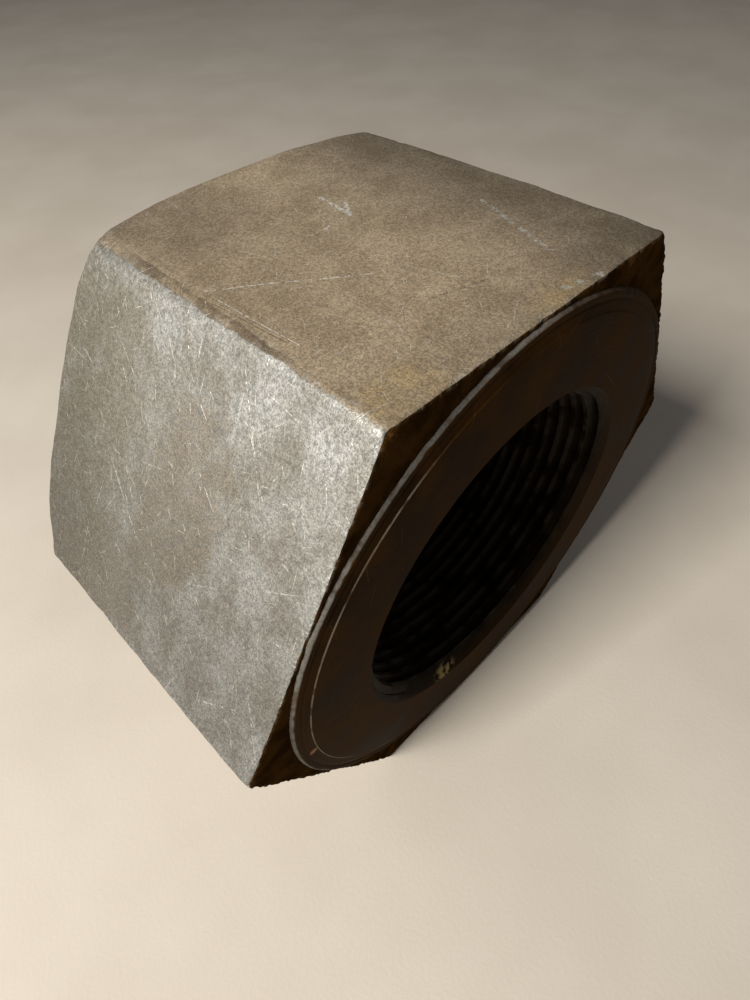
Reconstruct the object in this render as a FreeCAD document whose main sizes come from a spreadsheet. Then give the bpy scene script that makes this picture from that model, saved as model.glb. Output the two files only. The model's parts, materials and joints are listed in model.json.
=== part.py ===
import FreeCAD, Part
import math
import os
import Sketcher

# Large heavy hex nut, one forged and machined piece, lying on one of its flats.
#
# Frame: millimetres, +Z up. The origin is on the thread axis, halfway between the bearing face and the
# crown. The thread axis runs along Y, with the bearing face towards -Y and the crown towards +Y. One flat
# faces straight down and the opposite one straight up.
#
# The body is drawn standing on its bearing face, with the thread axis along its own Z, and its Placement
# then lays it on a flat.

NODE = "hex_nut"
SIDES = 6
QUARTERS = 4
FULL_TURN = 360
ROOT_SHARE = 8  # the flat at the thread's root is one eighth of the pitch
LEAST_CHANGE = 1.0  # cubic millimetres that each feature must add or remove
ORIGIN = (-1, 1)  # a sketch's own origin and axes, as its constraints name them
X_AXIS, Y_AXIS = -1, -2
START, END, CENTRE = 1, 2, 3  # the points of a line or an arc, as constraints name them

# The driving dimensions: alias, value in millimetres or degrees, and what it measures
DIMENSIONS = [
    ("across_flats", 116.0, "wrench size, from one flat to the opposite flat"),
    ("nut_height", 76.0, "from the bearing face to the crown's top face"),
    ("corner_round", 1.0, "radius along the six long corners"),
    ("crown_circle_dia", 121.0, "where the crown's chamfer cone would meet its top face"),
    ("crown_angle", 42.0, "slope of the crown chamfer, from the top face"),
    ("crown_round", 12.0, "radius between the crown's top face and its chamfer"),
    ("pad_dia", 114.4, "round bearing pad that stands above the hexagon"),
    ("pad_height", 1.0, "from the hexagon to the bearing face"),
    ("bearing_face_dia", 106.8, "edge of the last facing cut on the pad"),
    ("facing_step", 0.3, "height of the bearing face above the pad's outer ring"),
    ("thread_major_dia", 76.2, "3 inch thread, across its roots"),
    ("thread_minor_dia", 73.0, "across its crests, which is the bore before tapping"),
    ("thread_pitch", 3.175, "8 threads per inch"),
    ("thread_flank", 30.0, "angle between each flank and a plane square to the axis"),
    ("cutter_clearance", 0.3, "how far inside the bore's wall the countersink and thread cutters start"),
    ("countersink_dia", 78.4, "mouth of the 90 degree countersink at each end"),
]


def make_sheet(doc):
    """Writes the driving dimensions to a spreadsheet, and returns them by alias."""
    sheet = doc.addObject("Spreadsheet::Sheet", "dims")
    for row, (alias, value, note) in enumerate(DIMENSIONS, start=1):
        sheet.set(f"A{row}", alias)
        sheet.set(f"B{row}", str(value))
        sheet.setAlias(f"B{row}", alias)
        sheet.set(f"C{row}", note)
    doc.recompute()
    return {alias: value for alias, value, note in DIMENSIONS}


def new_sketch(body, name, role, lift=None):
    """An empty sketch on one of the body's origin planes, raised by an expression if one is given."""
    sketch = body.newObject("Sketcher::SketchObject", name)
    plane = next(item for item in body.Origin.OriginFeatures if item.Role == role)
    sketch.AttachmentSupport = (plane, [""])
    sketch.MapMode = "FlatFace"
    if lift:
        sketch.setExpression("AttachmentOffset.Base.z", lift)
    return sketch


def constrain(sketch, kind, *where):
    """Adds a constraint and returns its number."""
    return sketch.addConstraint(Sketcher.Constraint(kind, *where))


def bind(sketch, kind, *where, to):
    """Adds a driving constraint and ties its value to an expression on the sheet."""
    sketch.setExpression(f"Constraints[{constrain(sketch, kind, *where)}]", to)


def add_outline(sketch, points):
    """Closed outline of straight lines through the points. Returns the lines in order."""
    corners = [FreeCAD.Vector(x, y, 0) for x, y in points]
    lines = [
        sketch.addGeometry(Part.LineSegment(start, end), False)
        for start, end in zip(corners, corners[1:] + corners[:1])
    ]
    for line, following in zip(lines, lines[1:] + lines[:1]):
        constrain(sketch, "Coincident", line, END, following, START)
    return lines


def add_circle(sketch, diameter, to, construction=False):
    """A circle about the sketch's own origin, its diameter tied to an expression."""
    shape = Part.Circle(FreeCAD.Vector(), FreeCAD.Vector(0, 0, 1), diameter / 2)
    circle = sketch.addGeometry(shape, construction)
    constrain(sketch, "Coincident", circle, CENTRE, *ORIGIN)
    bind(sketch, "Diameter", circle, diameter, to=to)
    return circle


def turn(body, kind, name, profile):
    """A full turn of a profile about the body's own Z, which is the profile's vertical axis."""
    feature = body.newObject(f"PartDesign::{kind}", name)
    feature.Profile = profile
    feature.ReferenceAxis = (profile, ["V_Axis"])
    return feature


def hexagon(body, size):
    """The prism from the foot of the pad to the crown, its corners rounded and two of them on X."""
    sketch = new_sketch(body, "hexagon_outline", "XY_Plane", lift="dims.pad_height")
    rounding = size["corner_round"]
    reach = (size["across_flats"] - 2 * rounding) / math.sqrt(3)
    step = 2 * math.pi / SIDES
    centres = [
        FreeCAD.Vector(reach * math.cos(k * step), reach * math.sin(k * step), 0) for k in range(SIDES)
    ]
    arcs, flats = [], []
    for k, centre in enumerate(centres):
        circle = Part.Circle(centre, FreeCAD.Vector(0, 0, 1), rounding)
        arc = Part.ArcOfCircle(circle, (k - 0.5) * step, (k + 0.5) * step)
        flat_end = centres[(k + 1) % SIDES] + arc.EndPoint - centre
        arcs.append(sketch.addGeometry(arc, False))
        flats.append(sketch.addGeometry(Part.LineSegment(arc.EndPoint, flat_end), False))
    rim = add_circle(
        sketch, 2 * reach, "2 * (dims.across_flats - 2 * dims.corner_round) / sqrt(3)", construction=True
    )
    for arc, flat, following in zip(arcs, flats, arcs[1:] + arcs[:1]):
        constrain(sketch, "Tangent", arc, END, flat, START)
        constrain(sketch, "Tangent", flat, END, following, START)
        constrain(sketch, "PointOnObject", arc, CENTRE, rim)
    for arc, flat in zip(arcs[1:], flats[1:]):
        constrain(sketch, "Equal", arcs[0], arc)
        constrain(sketch, "Equal", flats[0], flat)
    constrain(sketch, "PointOnObject", arcs[0], CENTRE, X_AXIS)
    bind(sketch, "Radius", arcs[0], rounding, to="dims.corner_round")
    prism = body.newObject("PartDesign::Pad", "hexagon")
    prism.Profile = sketch
    prism.setExpression("Length", "dims.nut_height - dims.pad_height")


def turn_crown(body, size):
    """Turns the crown: a cone outside its flat top face, with an arc between the two."""
    sketch = new_sketch(body, "crown_profile", "XZ_Plane")
    top, knee, outside = size["nut_height"], size["crown_circle_dia"] / 2, size["across_flats"]
    slope, bend = math.radians(size["crown_angle"]), size["crown_round"]
    setback = bend * math.tan(slope / 2)
    face_edge = FreeCAD.Vector(knee - setback, top, 0)
    cone_edge = FreeCAD.Vector(knee + setback * math.cos(slope), top - setback * math.sin(slope), 0)
    cone_foot = FreeCAD.Vector(outside, top - (outside - knee) * math.tan(slope), 0)
    corner = FreeCAD.Vector(outside, top, 0)
    circle = Part.Circle(face_edge - FreeCAD.Vector(0, bend, 0), FreeCAD.Vector(0, 0, 1), bend)
    arc = sketch.addGeometry(Part.ArcOfCircle(circle, math.pi / 2 - slope, math.pi / 2), False)
    cone = sketch.addGeometry(Part.LineSegment(cone_edge, cone_foot), False)
    side = sketch.addGeometry(Part.LineSegment(cone_foot, corner), False)
    level = sketch.addGeometry(Part.LineSegment(corner, face_edge), False)
    constrain(sketch, "Tangent", arc, START, cone, START)
    constrain(sketch, "Coincident", cone, END, side, START)
    constrain(sketch, "Coincident", side, END, level, START)
    constrain(sketch, "Tangent", level, END, arc, END)
    constrain(sketch, "Horizontal", level)
    constrain(sketch, "Vertical", side)
    bind(sketch, "DistanceX", *ORIGIN, level, START, outside, to="dims.across_flats")
    bind(sketch, "DistanceY", *ORIGIN, level, START, top, to="dims.nut_height")
    bind(sketch, "Radius", arc, bend, to="dims.crown_round")
    bind(
        sketch, "DistanceX", *ORIGIN, arc, END, face_edge.x,
        to="dims.crown_circle_dia / 2 - dims.crown_round * tan(dims.crown_angle * 0.5 deg)",
    )
    bind(sketch, "Angle", cone, -slope, to="-dims.crown_angle * 1 deg")
    turn(body, "Groove", "crown_chamfer", sketch).Angle = FULL_TURN


def raise_pad(body, size):
    """The round bearing pad: an outer ring, and inside it the bearing face, a small step higher."""
    layers = [
        ("pad_ring", "pad_dia", "dims.facing_step", "dims.pad_height - dims.facing_step"),
        ("bearing_face", "bearing_face_dia", None, "dims.facing_step"),
    ]
    for name, diameter, lift, thickness in layers:
        sketch = new_sketch(body, f"{name}_outline", "XY_Plane", lift=lift)
        add_circle(sketch, size[diameter], f"dims.{diameter}")
        pad = body.newObject("PartDesign::Pad", name)
        pad.Profile = sketch
        pad.setExpression("Length", thickness)


def drill_bore(body, size):
    """The bore before tapping, drawn as quarter arcs so that its wall is four faces."""
    sketch = new_sketch(body, "bore_outline", "XY_Plane")
    circle = Part.Circle(FreeCAD.Vector(), FreeCAD.Vector(0, 0, 1), size["thread_minor_dia"] / 2)
    quarter = 2 * math.pi / QUARTERS
    arcs = [
        sketch.addGeometry(Part.ArcOfCircle(circle, quarter * k, quarter * (k + 1)), False)
        for k in range(QUARTERS)
    ]
    for arc, following, axis in zip(arcs, arcs[1:] + arcs[:1], (X_AXIS, Y_AXIS, X_AXIS, Y_AXIS)):
        constrain(sketch, "Coincident", arc, CENTRE, *ORIGIN)
        constrain(sketch, "Coincident", arc, END, following, START)
        constrain(sketch, "PointOnObject", arc, START, axis)
    bind(sketch, "Diameter", arcs[0], size["thread_minor_dia"], to="dims.thread_minor_dia")
    hole = body.newObject("PartDesign::Pocket", "bore")
    hole.Profile = sketch
    hole.Reversed = True
    hole.Refine = False
    hole.setExpression("Length", "dims.nut_height")


def countersink(body, size):
    """A 90 degree countersink at each end of the bore, turned with a cutter that has a flat tip."""
    sketch = new_sketch(body, "countersink_profile", "XZ_Plane")
    top = size["nut_height"]
    mouth = size["countersink_dia"] / 2
    tip = size["thread_minor_dia"] / 2 - size["cutter_clearance"]
    depth = mouth - tip
    tip_to = "(dims.thread_minor_dia / 2 - dims.cutter_clearance)"
    depth_to = f"(dims.countersink_dia / 2 - {tip_to})"
    ends = [(0, depth, "0", depth_to), (top, top - depth, "dims.nut_height", f"dims.nut_height - {depth_to}")]
    for face, inner, face_to, inner_to in ends:
        outline = [(0, face), (mouth, face), (tip, inner), (0, inner)]
        level, _, floor, _ = add_outline(sketch, outline)
        constrain(sketch, "PointOnObject", level, START, Y_AXIS)
        constrain(sketch, "PointOnObject", floor, END, Y_AXIS)
        constrain(sketch, "Horizontal", level)
        constrain(sketch, "Horizontal", floor)
        bind(sketch, "DistanceX", *ORIGIN, level, END, mouth, to="dims.countersink_dia / 2")
        bind(sketch, "DistanceX", *ORIGIN, floor, START, tip, to=tip_to)
        bind(sketch, "DistanceY", *ORIGIN, level, END, face, to=face_to)
        bind(sketch, "DistanceY", *ORIGIN, floor, START, inner, to=inner_to)
    cut = turn(body, "Groove", "countersinks", sketch)
    cut.Angle = FULL_TURN
    cut.Refine = False


def tap_thread(body, size):
    """The right-hand internal thread: its groove's section on a helix that runs a pitch past each end."""
    sketch = new_sketch(body, "thread_section", "XZ_Plane")
    pitch = size["thread_pitch"]
    root = size["thread_major_dia"] / 2
    mouth = size["thread_minor_dia"] / 2 - size["cutter_clearance"]
    flank = math.radians(size["thread_flank"])
    root_half = pitch / ROOT_SHARE / 2
    mouth_half = root_half + (root - mouth) * math.tan(flank)
    lower, floor, upper, back = add_outline(sketch, [
        (mouth, -pitch - mouth_half), (root, -pitch - root_half),
        (root, -pitch + root_half), (mouth, -pitch + mouth_half),
    ])
    constrain(sketch, "Vertical", floor)
    constrain(sketch, "Vertical", back)
    constrain(sketch, "Equal", lower, upper)
    root_to = f"dims.thread_pitch / {ROOT_SHARE}"
    bind(sketch, "DistanceX", *ORIGIN, floor, START, root, to="dims.thread_major_dia / 2")
    bind(
        sketch, "DistanceX", *ORIGIN, back, END, mouth,
        to="dims.thread_minor_dia / 2 - dims.cutter_clearance",
    )
    bind(sketch, "DistanceY", floor, START, floor, END, 2 * root_half, to=root_to)
    bind(
        sketch, "DistanceY", floor, START, *ORIGIN, pitch + root_half,
        to=f"dims.thread_pitch + {root_to} / 2",
    )
    bind(sketch, "Angle", lower, flank, to="dims.thread_flank * 1 deg")
    cut = turn(body, "SubtractiveHelix", "thread", sketch)
    cut.Mode = "pitch-height-angle"
    cut.Refine = False
    cut.setExpression("Pitch", "dims.thread_pitch")
    cut.setExpression("Height", "dims.nut_height + 2 * dims.thread_pitch")


def make_nut(doc, size):
    """The whole nut as one body, laid on its flat with the thread axis along Y."""
    body = doc.addObject("PartDesign::Body", NODE)
    body.Label = NODE
    hexagon(body, size)
    turn_crown(body, size)
    raise_pad(body, size)
    drill_bore(body, size)
    countersink(body, size)
    tap_thread(body, size)
    body.Placement.Rotation = FreeCAD.Rotation(FreeCAD.Vector(1, 0, 0), -90)
    body.setExpression("Placement.Base.y", "-dims.nut_height / 2")
    doc.recompute()
    return body


def check(doc, body):
    """Stops the build if an object failed, a feature changed nothing, or the nut isn't one valid solid."""
    for item in doc.Objects:
        if "Invalid" in item.State or "Error" in item.State:
            raise RuntimeError(f"{item.Name} is {item.State}")
    volume = 0
    for feature in body.Group:
        if feature.isDerivedFrom("PartDesign::Feature"):
            change = feature.Shape.Volume - volume
            volume = feature.Shape.Volume
            print(f"{feature.Name}: {change:+.0f} mm3, {len(feature.Shape.Faces)} faces")
            if abs(change) < LEAST_CHANGE:
                raise RuntimeError(f"{feature.Name} changed nothing")
    shape = body.Shape
    if shape.isNull() or not shape.isValid() or len(shape.Solids) != 1:
        raise RuntimeError(f"{NODE} isn't one valid solid")


def main():
    """Builds the document and writes the nut's STEP file."""
    doc = FreeCAD.newDocument("heavy_hex_nut")
    body = make_nut(doc, make_sheet(doc))
    check(doc, body)
    os.makedirs("parts", exist_ok=True)
    body.Shape.exportStep(f"parts/{NODE}.step")


main()
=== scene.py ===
import json
import math
import bmesh
import bpy
import numpy as np
from mathutils import Matrix, Vector, noise


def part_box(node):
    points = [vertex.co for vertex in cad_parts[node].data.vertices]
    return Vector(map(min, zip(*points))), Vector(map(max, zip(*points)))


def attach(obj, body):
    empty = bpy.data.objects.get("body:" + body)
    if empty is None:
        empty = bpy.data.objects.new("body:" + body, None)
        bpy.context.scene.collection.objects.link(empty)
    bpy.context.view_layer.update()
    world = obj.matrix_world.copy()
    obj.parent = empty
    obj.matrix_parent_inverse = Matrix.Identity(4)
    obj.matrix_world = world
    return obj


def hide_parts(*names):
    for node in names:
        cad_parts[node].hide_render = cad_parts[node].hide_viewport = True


# The looks of the heavy hex nut. The thread axis is Y, the bearing face is towards -Y, the crown towards
# +Y, and the nut lies on a flat. Mesh code works in millimetres and scales to metres at the end.

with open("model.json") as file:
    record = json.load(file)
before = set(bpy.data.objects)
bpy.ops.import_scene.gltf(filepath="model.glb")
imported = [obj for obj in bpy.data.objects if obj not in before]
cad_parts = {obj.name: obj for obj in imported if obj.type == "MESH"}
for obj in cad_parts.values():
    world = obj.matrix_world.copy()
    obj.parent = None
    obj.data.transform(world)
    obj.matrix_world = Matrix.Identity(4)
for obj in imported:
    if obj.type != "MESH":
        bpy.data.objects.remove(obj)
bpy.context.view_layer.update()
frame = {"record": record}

NODE = "hex_nut"
MM = 0.001
SIDES = 6
RESTING_FLAT = 4

# Sizes that the frame gives
low_corner, high_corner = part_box(NODE)
HALF_HEIGHT = high_corner[1] / MM
APOTHEM = high_corner[2] / MM
SIDE_LENGTH = 2 * APOTHEM / math.sqrt(3)
thread_mount = next(mount for mount in frame["record"]["mounts"] if mount["name"] == "thread")
CREST_RADIUS = thread_mount["dims"]["r_mm"]
COUNTERSINK_DEPTH = HALF_HEIGHT - thread_mount["dims"]["length_mm"] / 2
MOUTH_RADIUS = CREST_RADIUS + COUNTERSINK_DEPTH

# Sizes of the thread, the pad and the crown, in mm, the same as the CAD model's. The crown's top face bends
# down from CROWN_KNEE, and KNEE_BLEND bends it as a 12 mm radius would.
PITCH = 3.175
ROOT_RADIUS = 38.1
ROOT_FLAT = PITCH / 8
CREST_FLAT = PITCH - ROOT_FLAT - 2 * (ROOT_RADIUS - CREST_RADIUS) * math.tan(math.radians(30))
PAD_RADIUS = 57.2
STEP_RADIUS = 53.4
STEP_HEIGHT = 0.3
HEX_PLANE = 1.0 - HALF_HEIGHT
CROWN_RADIUS = 60.5
CROWN_SLOPE = math.radians(42)
CROWN_KNEE = 55.9
KNEE_BLEND = 3.2
CORNER_ROUND = 1.0
FACE_START = MOUTH_RADIUS + 0.15

# A fine groove in the pad's outer ring, in mm: its two edges, its floor's two edges and its depth
GROOVE_EDGES = (55.3, 55.9)
GROOVE_FLOOR = (55.5, 55.7)
GROOVE_DEPTH = 0.13

# Columns of the mesh round the nut: in each corner, in each flat, and how many share one in the bore
CORNER_COLUMNS = 6
FLAT_COLUMNS = 144
COLUMNS = SIDES * (CORNER_COLUMNS + FLAT_COLUMNS)
BORE_SHARE = 5
BORE_COLUMNS = COLUMNS // BORE_SHARE

# How strongly a flat's columns crowd towards its two corners
CROWDING = 1.1


# ---------------------------------------------------------------- noise and blending

def rough(points, size, seed):
    """Smooth random values, about -1 to 1, with features about this size in mm."""
    shift = Vector((seed * 17.3, seed * 5.7, seed * 11.1))
    return np.array([noise.noise(Vector(point) / size + shift) for point in points]) * 1.6


def smooth_max(a, b, blend):
    """The larger of two distances, rounded over where they are within blend of each other."""
    return np.maximum(a, b) + np.maximum(blend - np.abs(a - b), 0) ** 2 / (4 * blend)


def ramp(values, start, end):
    """0 at start, 1 at end, smooth between."""
    t = np.clip((values - start) / (end - start), 0, 1)
    return t * t * (3 - 2 * t)


# ---------------------------------------------------------------- the hexagonal body

# Dents in the flats: which flat (1 is the top, 2 the next one towards -X), place along the flat and along
# the axis, half lengths along the two, turn in degrees, and depth. Lengths are in mm.
DENTS = [
    (2, 32.0, 7.5, 2.2, 1.0, 80, 0.35),
    (2, 32.4, -7.0, 2.6, 1.1, 95, 0.30),
    (2, 6.0, -3.0, 2.4, 0.8, 35, 0.14),
    (2, -16.0, -22.0, 2.6, 0.7, -30, 0.14),
    (1, 32.2, -13.0, 1.5, 1.0, 60, 0.40),
    (1, 6.0, 6.0, 3.0, 0.9, 30, 0.12),
    (1, -14.0, -14.0, 2.4, 1.0, -20, 0.12),
    (1, -22.0, -36.0, 1.6, 1.6, 0, 0.45),
    (0, 4.0, 12.0, 3.4, 1.2, 25, 0.24),
    (0, -16.0, -16.0, 2.2, 1.5, -40, 0.18),
    (3, -8.0, 6.0, 4.0, 1.1, 15, 0.24),
    (4, 12.0, -10.0, 2.8, 1.2, -25, 0.20),
    (5, -5.0, 18.0, 3.2, 1.3, 60, 0.22),
]


def flat_frame(flat):
    """A flat's outward normal and its direction along, as (x, z) pairs."""
    angle = math.radians(30 + 60 * flat)
    return np.array([math.cos(angle), math.sin(angle)]), np.array([-math.sin(angle), math.cos(angle)])


def flat_distances(points):
    """Each point's distance outside each of the six flats, one column per flat."""
    return np.stack([points[:, [0, 2]] @ flat_frame(flat)[0] - APOTHEM for flat in range(SIDES)], axis=1)


def shell_distance(points, corner_blend, edge_blend):
    """How far outside the worn body each point is, in mm, without its pad and its bore."""
    flats = np.sort(flat_distances(points), axis=1)
    sides = smooth_max(flats[:, -1], flats[:, -2], corner_blend)
    radius = np.hypot(points[:, 0], points[:, 2])
    above = points[:, 1] - HALF_HEIGHT
    cone = (radius - CROWN_RADIUS) * math.sin(CROWN_SLOPE) + above * math.cos(CROWN_SLOPE)
    body = smooth_max(sides, smooth_max(cone, above, KNEE_BLEND), 0.5)
    return smooth_max(body, HEX_PLANE - points[:, 1], edge_blend)


def dents(points, nearest):
    """How deep the dents go at each point."""
    depth = np.zeros(len(points))
    for flat, along, axial, half_long, half_wide, turn, most in DENTS:
        s = points[:, [0, 2]] @ flat_frame(flat)[1] - along
        t = points[:, 1] - axial
        c, d = math.cos(math.radians(turn)), math.sin(math.radians(turn))
        reach = ((s * c + t * d) / half_long) ** 2 + ((t * c - s * d) / half_wide) ** 2
        depth += np.where(nearest == flat, most * np.exp(-1.5 * reach), 0)
    return depth


def wear(points):
    """The body's unevenness at each point: missing depth, corner blend, edge blend and edge closeness."""
    flats = flat_distances(points)
    nearest = flats.argmax(axis=1)
    ordered = np.sort(flats, axis=1)
    to_corner = (ordered[:, -1] - ordered[:, -2]) / math.sqrt(3)
    to_face = points[:, 1] - HEX_PLANE
    radius = np.hypot(points[:, 0], points[:, 2])
    cone = (radius - CROWN_RADIUS) * math.sin(CROWN_SLOPE)
    to_crown = np.abs(cone + (points[:, 1] - HALF_HEIGHT) * math.cos(CROWN_SLOPE))
    near_face = np.exp(-np.maximum(to_face, 0) / 0.8) * np.exp(np.minimum(ordered[:, -1], 0) / 0.8)
    near_corner = np.exp(-to_corner / 1.2) * ramp(to_face, 0.0, 0.6)
    near_crown = np.exp(-to_crown / 2.0) * ramp(radius, 50.0, 56.0)
    medium, chips, fine = rough(points, 9.0, 2), rough(points, 2.6, 3), rough(points, 1.2, 4)
    missing = 0.07 * rough(points, 34.0, 1) + 0.04 * medium + 0.025 * chips + 0.02 * fine
    missing += near_corner * (0.10 * np.maximum(chips, 0) + 0.05 * fine)
    missing += near_crown * 0.12 * medium
    ragged = np.where((nearest == 1) | (nearest == 2), 0.2, 0.07)
    missing += near_face * (ragged * np.maximum(chips - 0.1, 0) + 0.04 * fine)
    missing += ramp(to_face, 0.4, 0.0) * (0.05 * medium + 0.06 * fine)
    missing += dents(points, nearest)
    missing = np.where(nearest == RESTING_FLAT, np.maximum(missing, 0), missing)
    # of the two corners beside the top flat, the one towards -X is worn most, and both most at the crown
    up = ramp(points[:, 1], HEX_PLANE - 25, HALF_HEIGHT + 25)
    worn, less_worn = (
        np.exp(-np.hypot(points[:, 0] - x, points[:, 2] - APOTHEM) / 12)
        for x in (-SIDE_LENGTH / 2, SIDE_LENGTH / 2)
    )
    corner_blend = 0.3 + 0.6 * up ** 4 + 3.8 * worn * up + 4.5 * less_worn * up ** 4 + 0.12 * np.abs(chips)
    edge_blend = 0.35 + ragged * (np.abs(chips) + np.abs(fine))
    # the six corners of the bearing side are rounded over
    corner_end = np.exp(-(to_corner + np.maximum(to_face, 0)) / 3)
    corner_blend += 0.9 * corner_end
    edge_blend += 0.7 * corner_end
    return missing, corner_blend, edge_blend, np.maximum(np.maximum(near_corner, near_face), near_crown)


def settle(points):
    """Moves points of the sharp body onto the worn one. Returns them and their closeness to an edge."""
    missing, corner_blend, edge_blend, edge = wear(points)
    step = 0.01
    for _ in range(4):
        outside = shell_distance(points, corner_blend, edge_blend) + missing
        slope = np.stack([
            shell_distance(points + offset, corner_blend, edge_blend)
            - shell_distance(points - offset, corner_blend, edge_blend)
            for offset in step * np.eye(3)
        ], axis=1) / (2 * step)
        points = points - (outside / (slope ** 2).sum(axis=1))[:, None] * slope
    return points, edge


def outline():
    """The hexagon's outline, from the corner at +X round towards +Z.

    Returns its (x, z) points and how far along the outline each one is, in mm.
    """
    reach = (APOTHEM - CORNER_ROUND) * 2 / math.sqrt(3)
    points, travel = [], []
    for side in range(SIDES):
        corner = 60 * side
        centre = reach * np.array([math.cos(math.radians(corner)), math.sin(math.radians(corner))])
        for k in range(CORNER_COLUMNS):
            turn = math.radians(60 * ((k + 0.5) / CORNER_COLUMNS - 0.5))
            angle = math.radians(corner) + turn
            points.append(centre + CORNER_ROUND * np.array([math.cos(angle), math.sin(angle)]))
            travel.append(SIDE_LENGTH * side + CORNER_ROUND * turn)
        normal, along = flat_frame(side)
        for k in range(FLAT_COLUMNS):
            s = reach / 2 * math.sin(CROWDING * (2 * (k + 0.5) / FLAT_COLUMNS - 1)) / math.sin(CROWDING)
            points.append(APOTHEM * normal + s * along)
            travel.append(SIDE_LENGTH * (side + 0.5) + s)
    return np.array(points), np.array(travel)


def spread(start, end, count, power=1.0):
    """Numbers from start to end, both included, closer together towards both ends for a power over 1."""
    t = np.linspace(-1, 1, count)
    t = np.sign(t) * (1 - (1 - np.abs(t)) ** power)
    return start + (end - start) * (t + 1) / 2


def ring(xz, y):
    """One row of the mesh from its (x, z) points and a height that is one number or one per column."""
    return np.stack([xz[:, 0], np.broadcast_to(y, len(xz)), xz[:, 1]], axis=1)


def circle(directions, radius, y):
    """One round row of the mesh."""
    return ring(directions * np.reshape(radius, (-1, 1)), y)


def plane_rows(rim, directions):
    """The rows from the foot of the pad out to the hexagon's rim."""
    foot = directions * (PAD_RADIUS + 0.05)
    return [ring(foot + (rim - foot) * t, HEX_PLANE) for t in 1 - np.linspace(1, 0, 7)[:-1] ** 1.8]


def outer_rows(rim, directions):
    """The rows up the flats, over the crown and in to the bore."""
    reach = np.hypot(rim[:, 0], rim[:, 1])
    slope = math.tan(CROWN_SLOPE)
    foot = HALF_HEIGHT - np.maximum(reach - CROWN_RADIUS, 0) * slope
    rows = [ring(rim, HEX_PLANE + (foot - HEX_PLANE) * t) for t in spread(0, 1, 47, 1.6)]
    for t in np.linspace(0, 1, 11)[1:]:
        radius = reach + (CROWN_KNEE - reach) * t
        rows.append(circle(directions, radius, HALF_HEIGHT - np.maximum(radius - CROWN_RADIUS, 0) * slope))
    for radius in spread(CROWN_KNEE, FACE_START, 5, 1.3)[1:]:
        rows.append(circle(directions, radius, HALF_HEIGHT))
    return rows


def pad_rows(directions):
    """The rows of the bearing side inside the foot of the pad, from the bore's mouth outwards."""
    around = circle(directions, 40.0, 0.0)
    ledge = -HALF_HEIGHT + STEP_HEIGHT * (0.75 + 0.35 * rough(around, 40.0, 21))
    waver = 0.10 * rough(around, 16.0, 22)
    nicks = 0.3 * np.maximum(rough(around, 1.3, 23) - 0.2, 0)
    ring_face = STEP_HEIGHT - HALF_HEIGHT
    face_radii = np.linspace(FACE_START, STEP_RADIUS - 0.25, 5)
    rows = [circle(directions, radius, -HALF_HEIGHT) for radius in face_radii]
    profile = [
        (STEP_RADIUS + waver - 0.08, 0.01 - HALF_HEIGHT),
        (STEP_RADIUS + waver + 0.07, ledge - 0.04),
        (STEP_RADIUS + waver + 0.20, ledge),
        (STEP_RADIUS + 1.1, ring_face),
        (GROOVE_EDGES[0], ring_face), (GROOVE_FLOOR[0], ring_face + GROOVE_DEPTH),
        (GROOVE_FLOOR[1], ring_face + GROOVE_DEPTH), (GROOVE_EDGES[1], ring_face),
        (PAD_RADIUS - 0.60 - nicks, ring_face),
        (PAD_RADIUS - 0.42 - nicks, ring_face + 0.05 + 0.3 * nicks),
        (PAD_RADIUS - 0.08 - 0.6 * nicks, HEX_PLANE - 0.30),
        (PAD_RADIUS, HEX_PLANE - 0.10),
    ]
    return rows + [circle(directions, radius, y) for radius, y in profile]


# ---------------------------------------------------------------- the thread

def thread_grid(directions, angles):
    """The bore's wall as rows that follow the right-hand helix, so that crests and roots are sharp.

    As in the CAD model, the middle of a root meets the bearing face where the bore crosses +X.
    """
    half_root = ROOT_FLAT / 2
    half_groove = (PITCH - CREST_FLAT) / 2
    marks = [
        (-half_root, ROOT_RADIUS), (half_root, ROOT_RADIUS),
        (half_groove, CREST_RADIUS), (half_groove + CREST_FLAT, CREST_RADIUS),
    ]
    rows = []
    for turn in range(math.ceil(2 * HALF_HEIGHT / PITCH) + 2):
        for mark, radius in marks:
            level = PITCH * (turn - angles / (2 * math.pi)) + mark
            y = np.clip(level - HALF_HEIGHT, -HALF_HEIGHT, HALF_HEIGHT)
            sunk = MOUTH_RADIUS - (HALF_HEIGHT - np.abs(y))
            rows.append(circle(directions, np.maximum(radius, sunk), y))
    return np.array(rows)


# ---------------------------------------------------------------- putting the mesh together

FORGED, PLANE, TURNED, THREAD = range(4)


def strip(lower, upper):
    """Quads between two closed rows of the body that start at these vertex numbers."""
    return [
        (lower + i, lower + (i + 1) % COLUMNS, upper + (i + 1) % COLUMNS, upper + i) for i in range(COLUMNS)
    ]


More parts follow.
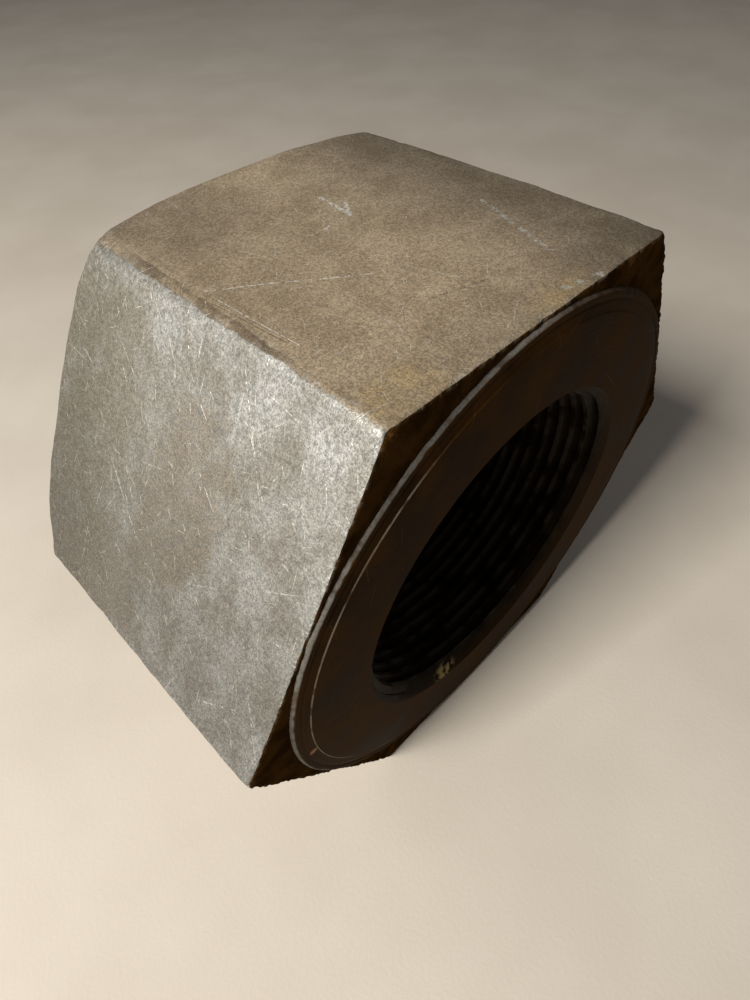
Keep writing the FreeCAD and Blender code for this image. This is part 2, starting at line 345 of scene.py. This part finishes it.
def build_nut():
    """The whole nut as one closed mesh.

    Returns its points, their closeness to an edge, its faces, their materials, and for each face corner
    how far it is along the outline and along the axis, unfolded over the edges.
    """
    rim, travel = outline()
    reach = np.hypot(rim[:, 0], rim[:, 1])
    directions = rim / reach[:, None]
    pad, plane, outer = pad_rows(directions), plane_rows(rim, directions), outer_rows(rim, directions)
    settled, edge = settle(np.concatenate(plane + outer))
    bore_directions = directions[::BORE_SHARE]
    angles = np.unwrap(np.arctan2(bore_directions[:, 1], bore_directions[:, 0]))
    angles = np.append(angles, angles[0] + 2 * math.pi)
    wall = thread_grid(np.concatenate([bore_directions, bore_directions[:1]]), angles)

    rows = pad + plane + outer
    points = np.concatenate([np.concatenate(pad), settled, wall.reshape(-1, 3)])
    closeness = np.concatenate([np.zeros(len(pad) * COLUMNS), edge, np.zeros(wall.shape[0] * wall.shape[1])])
    inward = [reach - np.hypot(row[:, 0], row[:, 2]) for row in rows]
    outer_start = len(pad) + len(plane)
    heights = [
        row[:, 1] + (inside if number >= outer_start else -inside)
        for number, (row, inside) in enumerate(zip(rows, inward))
    ]
    faces, kinds, wraps = [], [], []
    along = np.stack([travel, np.append(travel[1:], travel[0] + SIDES * SIDE_LENGTH)], axis=1)
    for row in range(len(rows) - 1):
        faces += strip(row * COLUMNS, (row + 1) * COLUMNS)
        kind = FORGED if row >= outer_start else PLANE if row >= len(pad) else TURNED
        kinds += [kind] * COLUMNS
        lower, upper = heights[row], heights[row + 1]
        corners = [(along[:, 0], lower), (along[:, 1], np.roll(lower, -1)),
                   (along[:, 1], np.roll(upper, -1)), (along[:, 0], upper)]
        wraps.append(np.stack([np.stack(corner, axis=1) for corner in corners], axis=1).reshape(-1, 2))
    first_wall = len(rows) * COLUMNS
    width = BORE_COLUMNS + 1
    bore_faces = []
    for row in range(wall.shape[0] - 1):
        for i in range(BORE_COLUMNS):
            a = first_wall + row * width + i
            bore_faces.append((a, a + width, a + width + 1, a + 1))
            kinds.append(THREAD)
    last_wall = first_wall + (wall.shape[0] - 1) * width
    crown_rim = (len(rows) - 1) * COLUMNS
    for i in range(BORE_COLUMNS):
        mouth = [(BORE_SHARE * i + k) % COLUMNS for k in range(BORE_SHARE + 1)]
        bore_faces.append(tuple(reversed(mouth)) + (first_wall + i, first_wall + i + 1))
        bore_faces.append(tuple(crown_rim + k for k in mouth) + (last_wall + i + 1, last_wall + i))
        kinds += [TURNED, FORGED]
    wraps.append(np.zeros((sum(len(face) for face in bore_faces), 2)))
    return points, closeness, faces + bore_faces, kinds, np.concatenate(wraps)


def make_piece(name):
    """The nut's mesh object, cleaned, with its edge mask and its unfolded coordinates in mm."""
    points, closeness, faces, kinds, wraps = build_nut()
    mesh = bpy.data.meshes.new(name)
    mesh.from_pydata((points * MM).tolist(), [], faces)
    mesh.attributes.new("edge", "FLOAT", "POINT").data.foreach_set("value", closeness)
    mesh.uv_layers.new(name="wrap").data.foreach_set("uv", wraps.ravel())
    mesh.polygons.foreach_set("material_index", kinds)
    work = bmesh.new()
    work.from_mesh(mesh)
    bmesh.ops.remove_doubles(work, verts=work.verts, dist=2e-6)
    bmesh.ops.dissolve_degenerate(work, edges=work.edges, dist=1e-7)
    bmesh.ops.recalc_face_normals(work, faces=work.faces)
    work.to_mesh(mesh)
    work.free()
    mesh.shade_smooth()
    mesh.set_sharp_from_angle(angle=math.radians(38))
    piece = bpy.data.objects.new(name, mesh)
    bpy.context.scene.collection.objects.link(piece)
    return piece


# ---------------------------------------------------------------- materials

class Graph:
    """A node material, built by short calls. Coordinates are object coordinates in mm."""

    def __init__(self, name):
        self.material = bpy.data.materials.new(name)
        self.material.use_nodes = True
        self.tree = self.material.node_tree
        self.tree.nodes.clear()
        self.shader = self.node("ShaderNodeBsdfPrincipled")
        output = self.node("ShaderNodeOutputMaterial")
        self.tree.links.new(self.shader.outputs[0], output.inputs[0])
        self.place = self.vector("SCALE", self.node("ShaderNodeTexCoord").outputs["Object"], Scale=1 / MM)
        self.across = self.vector("MULTIPLY", self.place, (1, 0, 1))
        self.radius = self.vector("LENGTH", self.across)
        self.wrap = self.node("ShaderNodeUVMap", uv_map="wrap").outputs[0]

    def node(self, kind, **settings):
        made = self.tree.nodes.new(kind)
        for key, value in settings.items():
            setattr(made, key, value)
        return made

    def feed(self, socket, value):
        """Puts a number, a colour or another node's output into a socket."""
        if isinstance(value, bpy.types.NodeSocket):
            self.tree.links.new(value, socket)
        elif hasattr(value, "__len__") and len(socket.default_value) == len(value) + 1:
            socket.default_value = (*value, 1)
        else:
            socket.default_value = value

    def vector(self, operation, *values, **named):
        made = self.node("ShaderNodeVectorMath", operation=operation)
        for socket, value in zip(made.inputs, values):
            self.feed(socket, value)
        for key, value in named.items():
            self.feed(made.inputs[key], value)
        return made.outputs["Value" if operation in ("LENGTH", "DOT_PRODUCT", "DISTANCE") else "Vector"]

    def calc(self, operation, *values):
        made = self.node("ShaderNodeMath", operation=operation)
        for socket, value in zip(made.inputs, values):
            self.feed(socket, value)
        return made.outputs[0]

    def most(self, *masks):
        """The largest of several masks."""
        largest = masks[0]
        for mask in masks[1:]:
            largest = self.calc("MAXIMUM", largest, mask)
        return largest

    def all(self, *masks):
        """The product of several masks."""
        product = masks[0]
        for mask in masks[1:]:
            product = self.calc("MULTIPLY", product, mask)
        return product

    def split(self, vector):
        return self.feed_into("ShaderNodeSeparateXYZ", vector).outputs

    def feed_into(self, kind, value, **settings):
        """A node of this kind with a value in its first socket."""
        made = self.node(kind, **settings)
        self.feed(made.inputs[0], value)
        return made

    def ramp(self, value, start, end, low=0.0, high=1.0):
        """low at start, high at end, smooth between and level outside."""
        made = self.node("ShaderNodeMapRange", interpolation_type="SMOOTHSTEP")
        numbers = (value, start, end, low, high)
        for key, number in zip(("Value", "From Min", "From Max", "To Min", "To Max"), numbers):
            self.feed(made.inputs[key], number)
        return made.outputs["Result"]

    def mix(self, factor, first, second):
        made = self.node("ShaderNodeMix", data_type="RGBA")
        for index, value in ((0, factor), (6, first), (7, second)):
            self.feed(made.inputs[index], value)
        return made.outputs[2]

    def noise(self, size, detail=3.0, roughness=0.55, place=None, seed=0):
        """Noise with features about size mm across."""
        made = self.node("ShaderNodeTexNoise")
        moved = self.vector("ADD", place or self.place, (seed * 31.7, seed * 17.9, seed * 7.3))
        settings = {"Vector": moved, "Scale": 1 / size, "Detail": detail, "Roughness": roughness}
        for key, value in settings.items():
            self.feed(made.inputs[key], value)
        return made.outputs["Fac"]

    def scratches(self, place, spacing, width, share, seed, turn=0.0, swing=math.pi):
        """A mask of thin straight scratches, at most one in each random cell of a plane.

        spacing is the cells' size, share the part of them with a scratch, and turn and swing give the
        scratches' mean direction and how far they stray from it.
        """
        moved = self.vector("ADD", place, (seed * 23.1, seed * 41.7, 0))
        cell = self.feed_into("ShaderNodeTexVoronoi", moved, voronoi_dimensions="2D")
        self.feed(cell.inputs["Scale"], 1 / spacing)
        pick = self.split(cell.outputs["Color"])
        turned = self.node("ShaderNodeVectorRotate", rotation_type="Z_AXIS")
        self.feed(turned.inputs["Vector"], self.vector("SUBTRACT", moved, cell.outputs["Position"]))
        self.feed(turned.inputs["Angle"], self.stretch(pick[0], turn - swing / 2, turn + swing / 2))
        spot = self.split(turned.outputs[0])
        beside = self.calc("ABSOLUTE", spot[1])
        line = self.ramp(beside, width, width * 0.3)
        end = self.ramp(self.calc("ABSOLUTE", spot[0]), spacing * 0.45, spacing * 0.2)
        return self.all(line, end, self.ramp(pick[2], share, share - 0.1))

    def stretch(self, value, low, high):
        """Stretches a value from 0 to 1 over a range."""
        return self.calc("MULTIPLY_ADD", value, high - low, low)

    def stroke(self, start, end, width, seed, fill=0.5):
        """A mask of one scratch between two places on the unfolded sides, broken up by grain."""
        span = (end[0] - start[0], end[1] - start[1], 0)
        length = math.hypot(*span)
        moved = self.vector("SUBTRACT", self.wrap, (*start, 0))
        share = self.vector("DOT_PRODUCT", moved, tuple(v / length ** 2 for v in span))
        clamped = self.node("ShaderNodeClamp")
        self.feed(clamped.inputs[0], share)
        foot = self.vector("SCALE", span, Scale=clamped.outputs[0])
        beside = self.vector("DISTANCE", moved, foot)
        broken = self.ramp(self.noise(1.1, detail=2.0, seed=seed), 0.58 - 0.16 * fill, 0.66 - 0.2 * fill)
        return self.all(self.ramp(beside, width, width * 0.3), broken)

    def blob(self, centre, half_long, half_wide, turn=0.0):
        """A soft oval mask on the unfolded sides, 1 in the middle."""
        c, s = math.cos(math.radians(turn)), math.sin(math.radians(turn))
        moved = self.vector("SUBTRACT", self.wrap, (*centre, 0))
        along = self.vector("DOT_PRODUCT", moved, (c / half_long, s / half_long, 0))
        aside = self.vector("DOT_PRODUCT", moved, (-s / half_wide, c / half_wide, 0))
        reach = self.calc("ADD", self.calc("MULTIPLY", along, along), self.calc("MULTIPLY", aside, aside))
        return self.ramp(reach, 1.0, 0.0)

    def edge(self):
        return self.node("ShaderNodeAttribute", attribute_name="edge").outputs["Fac"]

    def bump(self, height, depth, below=None):
        """A bump of this height field, depth in mm, over any bump below it."""
        made = self.node("ShaderNodeBump")
        self.feed(made.inputs["Height"], height)
        made.inputs["Strength"].default_value = 1.0
        made.inputs["Distance"].default_value = depth * MM
        if below:
            self.feed(made.inputs["Normal"], below)
        return made.outputs[0]

    def finish(self, colour, roughness, metallic, normal, specular=0.5):
        """Fills the shader in. The specular level is set on its own socket."""
        looks = {"Base Color": colour, "Roughness": roughness, "Metallic": metallic, "Normal": normal}
        for key, value in looks.items():
            self.feed(self.shader.inputs[key], value)
        self.shader.inputs["Specular IOR Level"].default_value = specular
        return self.material


def on_flat(flat, s, y):
    """A place on a flat, in the unfolded coordinates, from its offset along the flat and along the axis."""
    return SIDE_LENGTH * (flat + 0.5) + s, y


def random_scratches(g, speckle):
    """Two masks for the flats: fine pale scratches at random, and a few dark ones."""
    fine = g.most(
        g.scratches(g.wrap, 3.0, 0.10, 0.45, 1),
        g.scratches(g.wrap, 5.0, 0.12, 0.50, 2, turn=0.5, swing=1.4),
        g.scratches(g.wrap, 11.0, 0.13, 0.45, 3),
        g.scratches(g.wrap, 28.0, 0.13, 0.55, 4, turn=0.9, swing=2.0),
    )
    fine = g.all(fine, g.ramp(g.noise(1.4, detail=2.0, seed=9), 0.40, 0.54))
    dark = g.all(g.scratches(g.wrap, 8.0, 0.14, 0.4, 5), g.ramp(speckle, 0.44, 0.52))
    return fine, dark


def own_scratches(g):
    """Two masks of marks that have places of their own: the larger pale scratches, and dark strokes of
    painted shadow in scratches.
    """
    pale = g.most(
        g.stroke(on_flat(1, -3.0, 15.5), on_flat(1, -2.0, 6.5), 0.62, 61, 0.9),
        g.stroke(on_flat(1, -2.0, 6.5), on_flat(1, -4.5, 10.5), 0.6, 62, 1.2),
        g.stroke(on_flat(1, -2.0, 6.5), on_flat(1, 9.5, 5.5), 0.34, 63, 0.3),
        g.stroke(on_flat(1, -22.0, -7.0), on_flat(1, -15.0, -26.5), 0.70, 64, 0.7),
        g.stroke(on_flat(1, 30.5, 4.5), on_flat(1, 23.0, -0.5), 0.22, 65, 0.9),
        g.stroke(on_flat(1, 23.0, -0.5), on_flat(1, 9.5, -10.5), 0.26, 73, 0.5),
        g.stroke(on_flat(1, 30.5, 1.5), on_flat(1, 29.5, -16.5), 0.16, 66, 1.0),
        g.stroke(on_flat(1, -15.0, -36.5), on_flat(1, -7.0, -34.5), 0.8, 67, 0.6),
        g.stroke(on_flat(2, 27.5, -21.0), on_flat(2, 22.0, -29.0), 0.22, 68, 0.9),
        g.stroke(on_flat(2, 28.0, -37.0), on_flat(2, 16.0, -30.0), 0.22, 69, 0.9),
        g.stroke(on_flat(2, -33.0, 4.0), on_flat(2, -18.0, -2.0), 0.14, 70, 0.5),
        g.stroke(on_flat(2, -32.0, -10.0), on_flat(2, -12.0, -22.0), 0.14, 71, 0.4),
    )
    # painted shadow: dark strokes in scratches, the first one 1 mm beside a pale scratch
    dark = g.most(
        g.stroke(on_flat(1, 31.5, 1.5), on_flat(1, 30.0, -16.5), 0.16, 66, 1.0),
        g.stroke(on_flat(1, 8.0, -22.0), on_flat(1, -1.0, -24.5), 0.5, 72, 0.6),
    )
    return pale, dark


def painted_corner_shade(g, before_corner, past_corner, travel, height):
    """A mask of painted shade: a dark band along the top flat's side of the corner towards -X, where the
    rolled edge turns from the lamp.
    """
    width = g.calc("MULTIPLY_ADD", g.ramp(height, HEX_PLANE - 20, HALF_HEIGHT), 1.5, 0.7)
    return g.all(
        g.ramp(g.calc("DIVIDE", before_corner, width), 1.15, 0.85), g.ramp(past_corner, 0.3, 0.0),
        g.ramp(travel, 1.5 * SIDE_LENGTH, 1.6 * SIDE_LENGTH),
        g.ramp(height, -27, -14, 0.1, 1.0), g.ramp(height, 26, 17, 0.35, 1.0),
    )


def forged_flats():
    """Forged and handled steel: brown oxide, silvery where rubbed, with crisp grain and scratches."""
    brown_oxide = (0.215, 0.166, 0.108), (0.272, 0.216, 0.146)
    grey_steel = (0.160, 0.150, 0.129), (0.224, 0.220, 0.203)
    stain, far_stain, gold = (0.150, 0.124, 0.092), (0.150, 0.136, 0.104), (0.38, 0.27, 0.13)
    silver, pale_scratch = (0.385, 0.39, 0.38), (0.50, 0.48, 0.43)
    # the first of these three dark colours is painted shade, for the band along the worn corner
    corner_shade_colour, dark_cloud, dark_scratch_and_shadow_colour = (0.092, 0.068, 0.042), (0.10, 0.078, 0.05), (0.085, 0.065, 0.042)
    g = Graph("forged_flats")
    unfolded = g.split(g.wrap)
    travel, height = unfolded[0], unfolded[1]
    grain = g.noise(0.32, detail=2.0, roughness=0.75, seed=4)
    speckle = g.noise(0.9, detail=3.0, roughness=0.7, seed=5)
    patches = g.noise(7.0, detail=5.0, roughness=0.6, seed=2)
    broad = g.noise(24.0, detail=3.0, seed=1)
    stains = g.noise(5.0, detail=6.0, roughness=0.68, seed=3)

    # the flats are brown, but the one towards -X and below the top is rubbed to grey
    second_corner = 2 * SIDE_LENGTH
    wobble = g.calc("MULTIPLY_ADD", g.noise(2.4, detail=3.0, seed=8), 1.6, -0.8)
    shifted = g.calc("ADD", travel, wobble)
    greyed = g.all(
        g.ramp(shifted, second_corner - 0.4, second_corner + 0.3),
        g.ramp(travel, 3.2 * SIDE_LENGTH, 3.0 * SIDE_LENGTH),
        g.ramp(height, HALF_HEIGHT + 4, HALF_HEIGHT - 2),
    )
    brown = g.mix(g.ramp(patches, 0.36, 0.64), *brown_oxide)
    grey = g.mix(g.ramp(patches, 0.36, 0.64), *grey_steel)
    colour = g.mix(greyed, brown, grey)
    tint = g.all(greyed, g.most(
        g.blob(on_flat(2, 0.0, -4.0), 24.0, 14.0, 20), g.blob(on_flat(2, 28.0, 14.0), 16.0, 18.0),
        g.blob(on_flat(2, -14.0, -4.0), 10.0, 8.0),
    ))
    stained = g.ramp(g.calc("ADD", g.calc("MULTIPLY", tint, 0.35), stains), 0.56, 0.76)
    colour = g.mix(g.all(stained, greyed, g.ramp(speckle, 0.36, 0.60, 0.25, 0.7)), colour, stain)
    far = g.all(greyed, g.ramp(height, -4.0, 26.0), g.ramp(stains, 0.34, 0.56, 0.35, 0.9))
    colour = g.mix(far, colour, far_stain)
    golden = g.most(g.blob(on_flat(1, -6.0, -34.5), 9.0, 4.0), g.blob(on_flat(1, 27.0, -33.0), 9.0, 6.0))
    colour = g.mix(g.all(golden, g.ramp(stains, 0.40, 0.60, 0.15, 0.6)), colour, gold)

    # silvery wear: along the worn corner, in patches and on the edges
    past_corner = g.calc("SUBTRACT", shifted, second_corner)
    lip = g.all(
        g.ramp(past_corner, 0.0, 0.6), g.ramp(past_corner, 7.5, 2.0),
        g.ramp(patches, 0.34, 0.55, 0.35, 1.0),
    )
    bright = g.all(greyed, g.most(
        g.blob(on_flat(2, -30.5, 8.5), 10.0, 7.0), g.blob(on_flat(2, -28.5, -14.5), 12.0, 8.0),
        g.blob(on_flat(2, -29.0, -30.0), 10.0, 6.0), g.blob(on_flat(2, 27.5, -35.0), 8.0, 3.0),
    ))
    worn = g.most(g.calc("MULTIPLY", lip, 0.45), g.all(bright, g.ramp(stains, 0.38, 0.58, 0.2, 1.0)))
    rubbed = g.all(worn, g.ramp(speckle, 0.38, 0.58, 0.4, 1.0))
    edges = g.all(
        g.ramp(g.edge(), 0.25, 0.9), g.ramp(g.noise(3.0, detail=3.0, seed=6), 0.46, 0.60),
        g.ramp(speckle, 0.4, 0.56),
    )
    pale = g.most(rubbed, g.calc("MULTIPLY", edges, 0.45))
    colour = g.mix(g.calc("MULTIPLY", pale, 0.8), colour, silver)
    # painted shade: a dark band on the top flat along the worn corner towards -X
    before_corner = g.calc("SUBTRACT", second_corner, shifted)
    corner_shade_mask = painted_corner_shade(g, before_corner, past_corner, travel, height)
    colour = g.mix(g.all(corner_shade_mask, g.ramp(stains, 0.36, 0.52, 0.45, 0.9)), colour, corner_shade_colour)
    colour = g.mix(g.ramp(broad, 0.36, 0.66, 0.16, 0.0), colour, dark_cloud)

    fine, dark = random_scratches(g, speckle)
    named, painted_groove_shadows = own_scratches(g)
    # painted shadow from the named dark strokes, together with the random dark scratches at 0.7, mixed to
    # one dark colour
    painted_shadow_and_dark_scratches = g.most(painted_groove_shadows, g.all(dark, 0.7))
    colour = g.mix(g.calc("MULTIPLY", painted_shadow_and_dark_scratches, 0.6), colour, dark_scratch_and_shadow_colour)
    lines = g.most(g.calc("MULTIPLY", fine, g.ramp(greyed, 0, 1, 0.5, 0.95)), named)
    colour = g.mix(g.calc("MULTIPLY", lines, 0.75), colour, pale_scratch)

    # crisp grain over everything, and painted shade: the slow change of tone from the top flat's far side
    # downwards darkens the colour flat by flat as the flats turn from the lamp, most on the flat beside the
    # top towards +X
    tone = g.calc(
        "MULTIPLY", g.ramp(travel, 1.0 * SIDE_LENGTH, 1.5 * SIDE_LENGTH, 0.44, 1.0),
        g.ramp(travel, 2.1 * SIDE_LENGTH, 2.9 * SIDE_LENGTH, 1.04, 0.66),
    )
    # then the rubbed flat is made darker towards the crown, and the brown flats darker in a patch near the
    # top flat's crown end and towards the bearing side
    tone = g.calc("MULTIPLY", tone, g.calc("SUBTRACT", 1.0, g.all(greyed, g.ramp(height, 8.0, 34.0), 0.2)))
    browned = g.calc("SUBTRACT", 1.0, greyed)
    dim = g.most(g.blob(on_flat(1, 24.0, 30.0), 26.0, 22.0), g.ramp(height, -22.0, -36.0, 0.0, 0.75))
    tone = g.calc("MULTIPLY", tone, g.calc("SUBTRACT", 1.0, g.all(browned, dim, 0.26)))
    colour = g.vector("SCALE", colour, Scale=tone)
    colour = g.vector("SCALE", colour, Scale=g.ramp(grain, 0.34, 0.66, 0.66, 1.36))
    dark_speck = g.ramp(greyed, 0, 1, 0.90, 0.78)
    colour = g.vector("SCALE", colour, Scale=g.ramp(speckle, 0.36, 0.64, dark_speck, 1.12))
    roughness = g.calc("SUBTRACT", g.ramp(grain, 0.3, 0.7, 0.62, 0.50), g.calc("MULTIPLY", pale, 0.10))
    metallic = g.calc("MULTIPLY_ADD", g.most(pale, lines), 0.25, 0.25)
    normal = g.bump(grain, 0.07)
    normal = g.bump(speckle, 0.07, normal)
    normal = g.bump(g.calc("SUBTRACT", 1.0, g.most(lines, painted_shadow_and_dark_scratches)), 0.04, normal)
    return g.finish(colour, roughness, metallic, normal)


def hex_plane():
    """The corners of the hexagon beside the pad: dark and rough, with pale chips along their edges. Their
    dark brown is partly oxide and partly painted shade of the bearing side.
    """
    g = Graph("hex_plane")
    patches = g.noise(5.0, detail=5.0, seed=21)
    grain = g.noise(0.6, detail=3.0, roughness=0.7, seed=22)
    # partly dark brown oxide, partly painted shade of the bearing side
    colour = g.mix(g.ramp(patches, 0.35, 0.65), (0.020, 0.0095, 0.0025), (0.044, 0.021, 0.0055))
    near_edge = g.ramp(g.split(g.wrap)[1], HEX_PLANE - 0.9, HEX_PLANE - 0.1)
    chips = g.all(near_edge, g.ramp(g.noise(1.6, detail=3.0, seed=23), 0.48, 0.60))
    colour = g.mix(g.calc("MULTIPLY", chips, 0.4), colour, (0.16, 0.14, 0.11))
    normal = g.bump(patches, 0.4, g.bump(grain, 0.2))
    return g.finish(colour, g.ramp(grain, 0.3, 0.7, 0.8, 0.6), 0.0, normal, specular=0.0)


def turned_face():
    """The bearing pad: turned smooth, with fine rings left by the tool. Its dark brown is partly oxide and
    partly painted shade of the bearing side, which faces away from the lamp.
    """
    g = Graph("turned_face")
    rings = g.node("ShaderNodeTexNoise", noise_dimensions="1D")
    for key, value in (("W", g.radius), ("Scale", 2.6), ("Detail", 3.0)):
        g.feed(rings.inputs[key], value)
    patches = g.noise(9.0, detail=5.0, seed=31)
    grain = g.noise(0.5, detail=2.0, seed=32)
    across = g.split(g.place)
    # partly dark brown oxide, partly painted shade: the bearing side's darkness is put into its colour
    colour = g.mix(g.ramp(patches, 0.32, 0.68), (0.015, 0.0065, 0.0014), (0.042, 0.0180, 0.0036))
    colour = g.mix(g.ramp(rings.outputs["Fac"], 0.4, 0.7, 0.0, 0.3), colour, (0.042, 0.022, 0.006))
    # painted highlight: the pad's edge is paler where its wall faces the lamp, most on the side towards -X
    painted_rim_highlight = g.all(
        g.ramp(g.radius, PAD_RADIUS - 0.5, PAD_RADIUS - 0.3), g.ramp(across[0], 24.0, -12.0, 0.12, 1.0),
        g.ramp(g.noise(3.0, detail=4.0, seed=33), 0.36, 0.52, 0.45, 1.0),
        g.ramp(grain, 0.3, 0.6, 0.6, 1.0),
    )
    colour = g.mix(g.calc("MULTIPLY", painted_rim_highlight, 0.85), colour, (0.150, 0.144, 0.130))
    # painted highlight: a pale line on the facing step, only on the side towards -X, where its wall faces
    # the lamp
    step = g.all(
        g.ramp(g.radius, STEP_RADIUS - 0.10, STEP_RADIUS + 0.02),
        g.ramp(g.radius, STEP_RADIUS + 0.16, STEP_RADIUS + 0.06), g.ramp(across[0], -20.0, -34.0),
        g.ramp(g.noise(3.0, detail=3.0, seed=34), 0.36, 0.52, 0.2, 1.0),
    )
    colour = g.mix(g.calc("MULTIPLY", step, 0.7), colour, (0.20, 0.175, 0.14))
    plane = g.node("ShaderNodeCombineXYZ")
    g.feed(plane.inputs[0], across[0])
    g.feed(plane.inputs[1], across[2])
    lines = g.most(
        g.scratches(plane.outputs[0], 7.0, 0.10, 0.35, 35),
        g.scratches(plane.outputs[0], 16.0, 0.11, 0.45, 36),
    )
    colour = g.mix(g.calc("MULTIPLY", lines, 0.3), colour, (0.13, 0.08, 0.04))
    copper = g.ramp(g.vector("DISTANCE", g.place, (-54.0, -37.7, -6.9)), 1.0, 0.6)
    colour = g.mix(g.all(copper, g.ramp(grain, 0.35, 0.5, 0.5, 1.0)), colour, (0.30, 0.15, 0.075))
    normal = g.bump(rings.outputs["Fac"], 0.05, g.bump(grain, 0.03))
    roughness = g.ramp(patches, 0.3, 0.7, 0.42, 0.56)
    metallic = g.calc("MULTIPLY", g.most(painted_rim_highlight, step), 0.3)
    return g.finish(colour, roughness, metallic, normal, specular=0.01)


def cut_thread():
    """The thread and its countersinks: dark and oily, with painted highlights on the crests and at the
    mouth.
    """
    g = Graph("cut_thread")
    patches = g.noise(6.0, detail=4.0, seed=41)
    grain = g.noise(0.5, detail=2.0, seed=42)
    colour = g.mix(g.ramp(patches, 0.35, 0.65), (0.008, 0.005, 0.002), (0.020, 0.013, 0.007))
    # painted highlight: the crests are made paler where the thread catches light
    painted_crest_highlight = g.all(g.ramp(g.radius, CREST_RADIUS + 0.3, CREST_RADIUS), g.ramp(patches, 0.42, 0.58))
    colour = g.mix(g.calc("MULTIPLY", painted_crest_highlight, 0.6), colour, (0.050, 0.044, 0.036))
    sunk = g.ramp(g.calc("ABSOLUTE", g.split(g.place)[1]), HALF_HEIGHT - 2.2, HALF_HEIGHT - 0.6)
    colour = g.mix(g.calc("MULTIPLY", sunk, 0.8), colour, (0.016, 0.0085, 0.0025))
    # painted highlight: a bright golden patch at the lower -X side of the bore's mouth
    beside = g.vector("SUBTRACT", g.place, (-14.4, -37.0, -35.7))
    painted_mouth_highlight = g.ramp(g.vector("LENGTH", g.vector("MULTIPLY", beside, (0.16, 0.5, 0.35))), 1.0, 0.4)
    painted_mouth_highlight = g.all(painted_mouth_highlight, g.ramp(g.noise(1.6, detail=3.0, seed=43), 0.44, 0.56))
    colour = g.mix(g.calc("MULTIPLY", painted_mouth_highlight, 0.8), colour, (0.30, 0.22, 0.09))
    normal = g.bump(grain, 0.06, g.bump(patches, 0.08))
    return g.finish(colour, g.ramp(grain, 0.3, 0.7, 0.55, 0.40), 0.1, normal, specular=0.03)


# ---------------------------------------------------------------- stage, light and camera

def pale_floor():
    """A plain pale matt floor."""
    g = Graph("pale_floor")
    tone = g.noise(60.0, detail=3.0, seed=51)
    colour = g.mix(g.ramp(tone, 0.3, 0.7), (0.43, 0.385, 0.325), (0.47, 0.425, 0.365))
    return g.finish(colour, 0.85, 0.0, g.bump(g.noise(0.9, detail=2.0, seed=52), 0.05))


def add_light(name, place, size, watts, colour):
    """A square lamp that points at the origin."""
    data = bpy.data.lights.new(name, "AREA")
    data.size = size
    data.energy = watts
    data.color = colour
    lamp = bpy.data.objects.new(name, data)
    lamp.location = place
    lamp.rotation_euler = (-Vector(place)).to_track_quat("-Z", "Y").to_euler()
    bpy.context.scene.collection.objects.link(lamp)


def set_stage():
    """The floor under the nut, the lamps and the sky."""
    mesh = bpy.data.meshes.new("floor")
    half, level = 3.0, low_corner[2]
    corners = [(-half, -half, level), (half, -half, level), (half, half, level), (-half, half, level)]
    mesh.from_pydata(corners, [], [(0, 1, 2, 3)])
    mesh.materials.append(pale_floor())
    floor = bpy.data.objects.new("floor", mesh)
    bpy.context.scene.collection.objects.link(floor)
    add_light("key", (-0.60, 0.02, 0.55), 0.22, 13.0, (1.0, 0.965, 0.90))
    add_light("fill", (0.5, -0.7, 0.6), 0.8, 0.4, (1.0, 0.93, 0.84))
    world = bpy.data.worlds.new("sky")
    world.use_nodes = True
    background = world.node_tree.nodes["Background"]
    background.inputs[0].default_value = (0.95, 0.95, 1.0, 1)
    background.inputs[1].default_value = 0.13
    bpy.context.scene.world = world
    bpy.context.scene.view_settings.view_transform = "Standard"


def set_camera(target, distance, azimuth, elevation, roll, lens):
    """A camera looking at a target. Azimuth 0 looks along +Y, and roll turns the camera about its view."""
    a, e = math.radians(azimuth), math.radians(elevation)
    back = Vector((math.sin(a) * math.cos(e), -math.cos(a) * math.cos(e), math.sin(e)))
    right = Vector((math.cos(a), math.sin(a), 0))
    axes = Matrix((right, back.cross(right), back)).transposed().to_4x4()
    data = bpy.data.cameras.new("camera")
    data.lens = lens
    data.sensor_width = 36.0
    data.clip_start = 0.005
    camera = bpy.data.objects.new("camera", data)
    turn = Matrix.Rotation(math.radians(roll), 4, "Z")
    camera.matrix_world = Matrix.Translation(Vector(target) + back * distance) @ axes @ turn
    bpy.context.scene.collection.objects.link(camera)
    bpy.context.scene.camera = camera


# ---------------------------------------------------------------- the scene

nut = make_piece("nut_body")
for make in (forged_flats, hex_plane, turned_face, cut_thread):
    nut.data.materials.append(make())
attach(nut, "root")
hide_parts(NODE)

set_stage()
set_camera(
    target=(-0.0045, -0.0044, -0.0053), distance=0.1485, azimuth=-43.85, elevation=49.53, roll=-1.8,
    lens=22.1,
)
